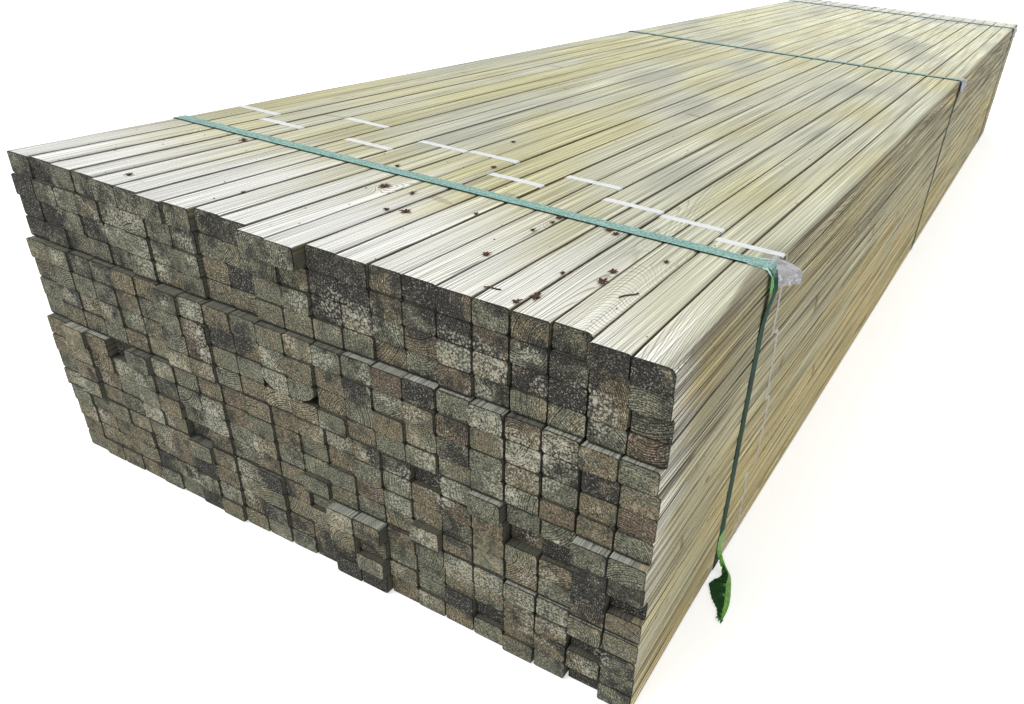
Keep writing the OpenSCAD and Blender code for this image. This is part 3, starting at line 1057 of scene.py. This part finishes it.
def makeBands(name, node, material):
    settings = bandSettings
    points = nodePoints(node)
    parts = []
    for tier in range(len(tierNames)):
        for column in range(bundleCount):
            low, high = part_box(bundleNode(tier, column))
            reach = 0.0006  # a band stands this little out from its bundle
            mine = points[(points[:, 0] > low.x - reach) & (points[:, 0] < high.x + reach)
                          & (points[:, 2] > low.z - reach) & (points[:, 2] < high.z + reach)]
            bandLow, bandHigh = mine[:, 1].min(), mine[:, 1].max()
            dice = random.Random(tier * 20 + column)
            path = loopPath((low.x, low.z), (high.x, high.z), settings["cornerRadius"], settings["spacing"])
            onSide = (path[:, 2] > 0.8) & (column == bundleCount - 1)
            widths = np.where(onSide, settings["pinch"], 1.0) * (bandHigh - bandLow) - settings["trim"]
            wave = np.array([dice.uniform(-settings["wave"], settings["wave"]) for p in path])
            down = (high.z - path[:, 1]) / (high.z - low.z) * (path[:, 0] - low.x) / (high.x - low.x)
            lean = settings["sideLean"][tier] if column == bundleCount - 1 else 0.0
            middle = (bandLow + bandHigh) / 2 + np.where(onSide, settings["sideShift"][tier], 0.0)
            lifts = np.full(len(path), settings["clear"])
            middle = middle + wave + lean * down
            parts.append(ribbonMesh(path, middle, widths, settings["thickness"], lifts))
    addPiece(name, joinMeshes(parts), material, "band", node)


band = bandMaterial()
makeBands("battenBandsFront", "bands_front", band)
makeBands("battenBandsRear", "bands_rear", band)
print("bands ready")


strapSettings = {
    "thickness": 0.00093,
    "clear": 0.00006,
    "cornerRadius": 0.0032,
    "spacing": 0.02,
    "trim": 0.0010,  # how much narrower it is than its node
    "wave": 0.0004,
    "lean": 0.011,  # how far the front strap's foot on the right side stands back
    "overSheet": 0.0012,  # how far a corner sheet lifts it
    "slack": (0.0008, 0.00025),  # how far it lies off the top, and how much that varies
    "standOff": {"strap_front": 0.0050, "strap_middle": 0.0020, "strap_rear": 0.0020},
    "gloss": 0.10,
    "looseGloss": 0.4,
    "fibreGloss": 0.3,
    "colours": {
        "faded": "a9c8bf",  # on top, faded by the sun and painted pale as lit
        "fadedDark": "6f9d96",
        "frontEdgeShade": "3f7564",
        "green": "143f30",  # on the sides, painted dark as shade
        "greenDark": "0a241b",
        "limeFibreAndGlint": "6cc257",
        "tailBright": "67a13c",
        "tailDark": "184d27",
        "mint": "bfe3d0",
    },
}

strapColours = tints(strapSettings["colours"])


def strapMaterial():
    paint = newPaint("green strap")
    colour = strapColours
    place = paint.place()
    x, y, z = paint.split(place)
    _, normalY, normalZ = paint.normal()
    speckle = paint.noise(place, 420.0, 2.0, 0.7)
    drift = paint.noise(place, 30.0, 2.0, 0.6)
    emboss = ((x + z + y) * 2200.0).calc("SINE") * ((x + z - y) * 2200.0).calc("SINE")
    # painted light: a pale, sunlit colour on the strap's top and a dark, shaded one on its sides
    top = paint.smooth(normalZ, 0.3, 0.8) * paint.smooth(z, 0.2, 0.3)
    faded = paint.mix(paint.smooth(speckle, 0.38, 0.62), colour["fadedDark"], colour["faded"])
    cloudy = paint.smooth(speckle + (drift - 0.5) * 0.6, 0.4, 0.65)
    base = paint.mix(top, paint.mix(cloudy, colour["greenDark"], colour["green"]), faded)
    edge = paint.smooth(abs(normalY), 0.5, 0.85)
    onTop = paint.smooth(z, timberTop - 0.006, timberTop - 0.001)
    nearCorner = paint.smooth(z, timberTop - 0.05, timberTop - 0.02, 0.25, 0.9)
    # painted highlight: a lime glint on the strap's edges on the side, near the corner
    glint = edge * paint.smooth(drift, 0.40, 0.56) * (1.0 - onTop) * nearCorner
    threads = paint.noise(paint.join(x * 25.0, y * 900.0, z * 25.0), 1.0, 1.0, 0.5)
    base = paint.shadeBy((threads - 0.5) * 1.1 + 1.0, base)
    # painted shade along the front edge and both edges of the strap on top
    base = paint.mix(paint.smooth(-normalY, 0.12, 0.45) * onTop * 0.85, base, colour["frontEdgeShade"])
    base = paint.mix(edge * onTop * 0.85, base, colour["greenDark"])
    base = paint.mix(glint * 0.9, base, colour["limeFibreAndGlint"])
    return paint.surface(strapSettings["gloss"], base, speckle * 0.25 + 0.50, (emboss, 0.35, 0.0003))


def strapMesh(name, index):
    settings = strapSettings
    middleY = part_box(name)[1].y - strapWidth / 2
    dice = random.Random(40 + index)
    clear = settings["clear"]
    path = loopPath((-halfPack - clear, timberFloor - clear), (halfPack + clear, timberTop + clear),
                    settings["cornerRadius"], settings["spacing"])
    lifted = settings["overSheet"]
    offTop, varies = settings["slack"]

    # the sheet lifts it over the top right corner, and it stands off a little below
    fromSide, fromTop = path[:, 0] - halfPack, path[:, 1] - timberTop
    overSheet = np.exp(-((fromSide / 0.030) ** 2 + (fromTop / 0.035) ** 2))
    standOff = np.exp(-((fromTop + 0.024) / 0.022) ** 2) * (path[:, 2] > 0.7) * (path[:, 0] > 0)
    slack = np.array([dice.uniform(0, varies) for p in path])
    onTop = np.clip(path[:, 3] * 2 - 0.4, 0, 1) ** 2
    lifts = lifted * np.clip(overSheet * 2.2, 0, 1) + standOff * settings["standOff"][name]
    lifts = np.where(onTop > 0, np.clip(np.maximum(lifts, (offTop + slack) * onTop), 0, lifted), lifts)
    drift = np.array([dice.uniform(-settings["wave"], settings["wave"]) for p in path])
    if index == 0:
        down = 1 - (path[:, 1] - timberFloor) / (timberTop - timberFloor)
        drift += settings["lean"] * down * (path[:, 0] + halfPack) / (2 * halfPack)
    widths = np.full(len(path), strapWidth - settings["trim"])
    return ribbonMesh(path, middleY + drift, widths, settings["thickness"], lifts)


def smoothRows(rows, count):
    # a smooth run of values through a few chosen rows
    rows = np.array(rows, dtype=float)
    padded = np.vstack([rows[0] * 2 - rows[1], rows, rows[-1] * 2 - rows[-2]])
    found = []
    for place in np.linspace(0, len(rows) - 1.0001, count):
        k, t = int(place), place - int(place)
        a, b, c, d = padded[k:k + 4]
        found.append(0.5 * (2 * b + (c - a) * t + (2 * a - 5 * b + 4 * c - d) * t * t
                            + (3 * b - a - 3 * c + d) * t ** 3))
    return np.array(found)


# the loose end from the side down to the floor: left edge, fold and right edge, in millimetres
# from the point on the floor below the strap's middle
looseEnd = [
    (1.2, 0.2, 58, 1.2, 9.5, 58, 1.2, 18.8, 58),
    (1.2, 0.6, 40, 1.25, 10, 40, 1.2, 19.0, 40),
    (2.0, 4.5, 27, 3.8, 10, 28, 2.4, 16, 28.5),
    (5.0, 6.5, 17, 7.5, 9.0, 19, 8.0, 12.2, 18),
    (10.0, 5.0, 8.5, 13.0, 6.5, 11.5, 15.0, 9.0, 9),
    (13.5, -1.5, 3.5, 20.0, 1.8, 7.8, 22.5, 5.0, 3),
    (9.0, -11.0, 2.4, 23.0, -6.5, 7.6, 27.5, -4.0, 1.6),
    (5.0, -21.0, 1.4, 25.5, -20, 8.4, 32.5, -18.0, 1.3),
    (9.5, -32.0, 1.4, 29.5, -32, 8.0, 37.0, -32.5, 1.3),
    (18.0, -44.0, 1.2, 33.5, -46, 6.6, 40.0, -47.0, 1.2),
    (27.5, -56.0, 1.2, 36.5, -58, 4.8, 41.0, -60.0, 1.2),
    (34.0, -66.0, 1.0, 38.0, -68, 2.2, 41.0, -70.0, 1.0),
]


def looseEndMesh():
    rows = smoothRows(looseEnd, 60)
    origin = np.array([halfPack, frontStrapY, 0.0])
    floorClear = 0.0009
    left, fold, right = rows[:, 0:3], rows[:, 3:6], rows[:, 6:9]
    columns = [left, left * 0.5 + fold * 0.5, fold, fold * 0.5 + right * 0.5, right]
    grid = np.stack(columns, 1) * 0.001 + origin
    dice = random.Random(7)
    for k in range(8, len(rows)):
        grid[k, :, 2] += np.array([0, 1, 0, 0.4, 0]) * dice.uniform(-0.0024, 0.0024)
        grid[k, :, 0] += np.array([1, 0.6, 0.2, 0.2, 0]) * dice.uniform(-0.0013, 0.0013)
    grid[:, :, 2] = np.maximum(grid[:, :, 2], floorClear)
    parts = [shellMesh(grid[:, ::-1], 0.0007)]

    # torn fibres at the tip
    half = np.array([0.0009, 0, 0])
    for k in range(9):
        share = k / 8
        root = grid[-1, 0] * (1 - share) + grid[-1, -1] * share
        root[2] = floorClear
        length = dice.uniform(0.003, 0.007)
        swing = dice.uniform(-0.3, 0.3)
        strip = []
        for t, wide in ((-0.3, 1), (0.0, 1), (0.5, 0.8), (1.0, 0.25)):
            middle = root + np.array([swing * length * t, -length * t, 0.0008 * t])
            strip.append([middle + half * wide, middle - half * wide])
        parts.append(shellMesh(np.array(strip), 0.0006))
    return joinMeshes(parts)


# fibres peeled off the front strap by the corner: middle line and width, in millimetres from
# the corner's top edge at the strap's middle
splinters = [
    [(-26, 10.5, 1.4, 1.2), (-16, 12.0, 1.9, 1.6), (-7, 15.5, 1.7, 1.4), (0.5, 20.0, 0.9, 0.5)],
    [(-20, 10.0, 1.2, 0.8), (-11, 13.0, 1.8, 1.2), (-4, 18.5, 1.8, 1.0), (-1.0, 26.0, 1.0, 0.4)],
    [(-24, -9.4, 1.4, 1.2), (-12, -10.2, 1.8, 2.6), (-3, -10.4, 1.0, 3.0), (3.0, -10.2, -5.0, 2.2)],
    [(3.2, -10.2, -5.0, 1.4), (4.6, -11.2, -10.0, 3.4), (5.4, -11.6, -17.0, 3.4), (5, -10.8, -24.0, 1.0)],
    [(3.6, -8.8, -6.0, 1.0), (5.6, -9.8, -11.0, 2.0), (6.4, -9.8, -16.0, 1.8), (5.4, -9.4, -21.0, 0.6)],
]


def splinterMesh():
    origin = np.array([halfPack, frontStrapY, timberTop])
    dice = random.Random(29)
    parts = []
    for rows in splinters:
        line = smoothRows(rows, 26) * 0.001
        forward = np.gradient(line[:, :3], axis=0)
        outward = np.array([0.7, 0, 0.7]) if line[-1, 2] > -0.004 else np.array([0.9, -0.3, 0])
        sideways = np.cross(forward, outward)
        sideways /= np.linalg.norm(sideways, axis=1, keepdims=True)
        half = line[:, 3:] * 0.5 * np.array([[dice.uniform(0.6, 1.15)] for p in line])
        edges = [line[:, :3] - sideways * half, line[:, :3], line[:, :3] + sideways * half]
        strip = np.stack(edges, 1)
        strip[:, :, 2] = np.minimum(strip[:, :, 2], 0.0020)  # no higher than the strap's own top
        parts.append(shellMesh(strip + origin, 0.0002))
    return joinMeshes(parts)


def splinterMaterial():
    paint = newPaint("peeled strap fibre")
    colour = strapColours
    place = paint.place()
    speckle = paint.noise(place, 400.0, 2.0, 0.6)
    height = paint.split(place)[2] + (speckle - 0.5) * 0.004
    below = paint.smooth(height, timberTop - 0.003, timberTop - 0.008)
    base = paint.mix(below, colour["mint"], colour["limeFibreAndGlint"])
    base = paint.mix(paint.smooth(speckle, 0.58, 0.40) * 0.6, base, colour["fadedDark"])
    return paint.surface(strapSettings["fibreGloss"], base, speckle * 0.3 + 0.4, (speckle, 0.3, 0.0002))


def looseEndMaterial():
    paint = newPaint("loose strap end")
    speckle = paint.noise(paint.place(), 300.0, 2.0, 0.7)
    # painted light and shade: faces turned to the right painted bright green, the others dark green, with
    # painted bright specks
    lit = paint.smooth(paint.normal()[0] + (speckle - 0.5) * 0.6, -0.15, 0.25)
    base = paint.mix(lit, strapColours["tailDark"], strapColours["tailBright"])
    base = paint.shadeBy(speckle * 2.4 - 0.2, base)
    return paint.surface(strapSettings["looseGloss"], base, speckle * 0.3 + 0.35, (speckle, 0.4, 0.0004))


strap = strapMaterial()
for strapIndex, strapName in enumerate(("strap_front", "strap_middle", "strap_rear")):
    title = strapName.split("_")[1].title()
    addPiece("packStrap" + title, strapMesh(strapName, strapIndex), strap, "strap", strapName)
addPiece("strapLooseEnd", looseEndMesh(), looseEndMaterial(), "strap")
addPiece("strapSplinters", splinterMesh(), splinterMaterial(), "strap")
print("straps ready")


sheetSettings = {
    "thickness": 0.0003,
    "clear": 0.00065,  # how far it lies off what is under it
    "cornerRadius": 0.0036,
    "grid": (34, 30),  # points along it and across it
    "gloss": 0.5,
    "colours": {"film": "b4b2b6", "crease": "e8e9ec", "shade": "85838a"},
    # each in metres: start and end from the strap's middle, width on top, depth on the side, crumple,
    # and how far its far end stands out and hangs down
    "sizes": {
        "corner_sheet_front": (-0.002, 0.031, 0.010, 0.016, 0.004, 0.020, 0.005),
        "corner_sheet_middle": (-0.006, 0.040, 0.014, 0.026, 0.008, 0.004, 0.0),
        "corner_sheet_rear": (-0.006, 0.046, 0.018, 0.028, 0.008, 0.003, 0.0),
    },
}


def sheetMesh(name, index):
    startY, endY, topWidth, sideDepth, crumple, flare, drop = sheetSettings["sizes"][name]
    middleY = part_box(name)[0].y + strapWidth / 2
    dice = random.Random(80 + index)
    waves = [(dice.uniform(0.7, 2.6), dice.uniform(-2.2, 2.2), dice.uniform(0, 6)) for k in range(6)]
    clear, radius = sheetSettings["clear"], sheetSettings["cornerRadius"]
    arc = radius * math.pi / 2
    rows, columns = sheetSettings["grid"]
    grid = np.empty((rows, columns, 3))
    for i in range(rows):
        along = i / (rows - 1)
        wide = topWidth * (1.0 - 0.6 * along + dice.uniform(-0.06, 0.04))
        lobe = 0.35 if 0.1 < along < 0.3 else 0.0
        deep = sideDepth * (0.93 + 0.07 * math.sin(5 * along + index) + lobe)
        for j in range(columns):
            across = j / (columns - 1)
            s = -wide + across * (wide + arc + deep)
            y = startY + along * (endY - startY) + dice.uniform(-0.0006, 0.0006)
            if s < 0:
                x, z, nx, nz = halfPack - radius + s, timberTop, 0.0, 1.0
            elif s < arc:
                angle = math.pi / 2 - s / radius
                nx, nz = math.cos(angle), math.sin(angle)
                x, z = halfPack - radius + radius * nx, timberTop - radius + radius * nz
            else:
                x, z, nx, nz = halfPack, timberTop - radius - (s - arc), 1.0, 0.0
            fold = sum(abs(math.sin(a * along * 5 + b * across * 5 + c)) for a, b, c in waves) / len(waves)
            free = min(1.0, max(0.0, (y - 0.010) / 0.018))
            away = clear + free * max(0.0, fold * 1.5 - 0.35) * crumple + flare * along * nx
            if nx < 0.5:
                away = min(away, clear + free * 0.0011)
            grid[i, j] = (x + nx * away, middleY + y, z + nz * min(away, 0.0014) - drop * along * nx)
    return shellMesh(grid, sheetSettings["thickness"])


def sheetMaterial():
    paint = newPaint("grey plastic sheet")
    colour = tints(sheetSettings["colours"])
    place = paint.place()
    crease = paint.noise(place, 240.0, 3.0, 0.6)
    fold = paint.noise(place, 90.0, 2.0, 0.6)
    # painted highlights on the creases and painted shade in the folds
    base = paint.mix(paint.smooth(crease, 0.55, 0.68), colour["film"], colour["crease"])
    base = paint.mix(paint.smooth(fold, 0.50, 0.32) * 0.6, base, colour["shade"])
    clear = paint.smooth(fold, 0.30, 0.62, 0.72, 0.96)
    return paint.surface(
        sheetSettings["gloss"], base, crease * 0.3 + 0.2, (crease, 0.7, 0.0010), {"Alpha": clear})


sheet = sheetMaterial()
for sheetIndex, sheetName in enumerate(sheetSettings["sizes"]):
    title = sheetName.split("_")[2].title()
    shape = sheetMesh(sheetName, sheetIndex)
    addPiece("cornerSheet" + title, shape, sheet, "corner_sheet", sheetName, sharpAngle=25)
print("corner sheets ready")


litterSettings = {
    "gloss": 0.3,
    "colours": {"dark": "2a1b12", "light": "6a4630"},
    "petalThickness": 0.00025,
    "alongGrain": 1.5,  # how much the petals are drawn out along the battens
    "crumbs": 150,
    "crumbSize": (0.0005, 0.0013),
    # x and y in metres, length in millimetres and heading in degrees
    "twigs": [(0.237, -1.603, 16, 20), (0.340, -1.543, 22, 65)],
    # x and y in metres, size in millimetres
    "husks": [
        (-0.019, -1.447, 10), (0.053, -1.497, 10), (0.020, -1.446, 7), (0.038, -1.401, 8),
        (0.034, -1.505, 6), (0.189, -1.407, 8), (0.191, -1.425, 5), (0.188, -1.543, 8),
        (0.187, -1.458, 6), (0.249, -1.406, 10), (0.260, -1.413, 8), (0.277, -1.596, 9),
        (0.269, -1.614, 7), (0.308, -1.532, 10), (0.305, -1.505, 8), (0.269, -1.537, 5),
        (0.114, -1.455, 5), (-0.275, -1.418, 8), (-0.250, -1.596, 7), (-0.060, -1.375, 6),
        (0.030, -1.300, 7), (-0.020, -1.180, 6), (-0.115, -1.560, 5), (0.335, -1.450, 6),
    ],
}


def directions(angle):
    # unit vectors forwards and to the left on the pack's top
    forward = np.array([math.cos(angle), math.sin(angle), 0])
    return forward, np.array([-forward[1], forward[0], 0])


def petalMesh(centre, angle, length, rise):
    forward, sideways = directions(angle)
    curl = np.array([0, 0, 0.12 * length])
    rows = []
    for t, wide in ((0.0, 0.16), (0.35, 0.26), (0.7, 0.18), (1.0, 0.03)):
        lift = np.array([0, 0, rise * math.sin(t * 2.2)])
        middle = centre + forward * length * t + lift
        half = sideways * wide * length
        rows.append([middle - half + curl * t, middle, middle + half + curl * t])
    rows = np.array(rows)
    rows[:, :, 1] = centre[1] + (rows[:, :, 1] - centre[1]) * litterSettings["alongGrain"]
    rows[:, :, 2] = np.minimum(rows[:, :, 2], timberTop + 0.0018)
    return shellMesh(rows, litterSettings["petalThickness"])


def crumbMesh(centre, radius, height, dice):
    ring = []
    for k in range(6):
        angle = k * math.pi / 3
        reach = radius * dice.uniform(0.7, 1.15)
        ring.append(centre + np.array([math.cos(angle) * reach, math.sin(angle) * reach, 0]))
    points = np.array(ring + [centre + np.array([0, 0, height]), centre - np.array([0, 0, height * 0.3])])
    faces = [(k, (k + 1) % 6, 6) for k in range(6)] + [((k + 1) % 6, k, 7) for k in range(6)]
    return points, faces


def twigMesh(centre, angle, length):
    forward, sideways = directions(angle)
    rows = []
    for k in range(7):
        middle = centre + forward * length * (k / 6 - 0.5)
        middle = middle + sideways * 0.0012 * math.sin(k * 0.9)
        half = sideways * 0.0008 * (1.2 - abs(k - 3) / 4)
        rows.append([middle - half, middle + np.array([0, 0, 0.0007]), middle + half])
    return shellMesh(np.array(rows), 0.0004)


def litterMesh():
    dice = random.Random(11)
    parts = []
    lying = timberTop + 0.0003
    for x, y, size in litterSettings["husks"]:
        reach = size * 0.00062
        centre = np.array([x, y, lying])
        turn = dice.uniform(0, 6)
        petals = dice.choice([5, 6, 7])
        for k in range(petals):
            angle = turn + k * 2 * math.pi / petals + dice.uniform(-0.25, 0.25)
            length, rise = reach * dice.uniform(0.7, 1.1), dice.uniform(0.0006, 0.0012)
            parts.append(petalMesh(centre, angle, length, rise))
        parts.append(crumbMesh(centre, reach * 0.5, 0.0016, dice))
    for x, y, length, heading in litterSettings["twigs"]:
        parts.append(twigMesh(np.array([x, y, lying]), math.radians(heading), length * 0.001))

    # crumbs gather in the joints between the battens
    for k in range(litterSettings["crumbs"]):
        column = dice.randint(0, packColumns)
        x = -halfPack + column * 2 * halfPack / packColumns
        x += dice.gauss(0, 0.004 if dice.random() < 0.75 else 0.02)
        y = frontEnd + 0.03 + dice.random() ** 1.3 * 0.9
        if abs(x) < halfPack - 0.004:
            size = dice.uniform(*litterSettings["crumbSize"])
            parts.append(crumbMesh(np.array([x, y, timberTop + size * 0.2]), size, size * 0.7, dice))
    return joinMeshes(parts)


def litterMaterial():
    paint = newPaint("dry husk")
    colour = tints(litterSettings["colours"])
    speckle = paint.noise(paint.place(), 500.0, 2.0, 0.6)
    base = paint.mix(paint.smooth(speckle, 0.4, 0.65), colour["dark"], colour["light"])
    return paint.surface(litterSettings["gloss"], base, speckle * 0.2 + 0.7, (speckle, 0.5, 0.0004))


addPiece("fallenHusks", litterMesh(), litterMaterial(), "timber")
print("husks ready")


def makeFloor():
    half, depth = lightSettings["floorSize"] / 2, -lightSettings["floorDepth"]
    paint = newPaint("studio floor")
    colour = tints(lightSettings["floorColours"])
    base = paint.mix(paint.noise(paint.place(), 3.0), colour["first"], colour["second"])
    seen, glossy = paint.node("ShaderNodeLightPath", outputs=("Is Camera Ray", "Is Glossy Ray"))
    glow = seen.calc("MAXIMUM", glossy) * lightSettings["floorGlow"]
    material = paint.finish(
        {"Roughness": 0.9, "Specular IOR Level": 0.1, "Emission Strength": 1.0},
        {"Base Color": base, "Emission Color": paint.join(glow, glow, glow)})
    corners = [(-half, -half, depth), (half, -half, depth), (half, half, depth), (-half, half, depth)]
    floor = makeObject("floor", corners, [(0, 1, 2, 3)], material)


makeFloor()
print("floor ready")
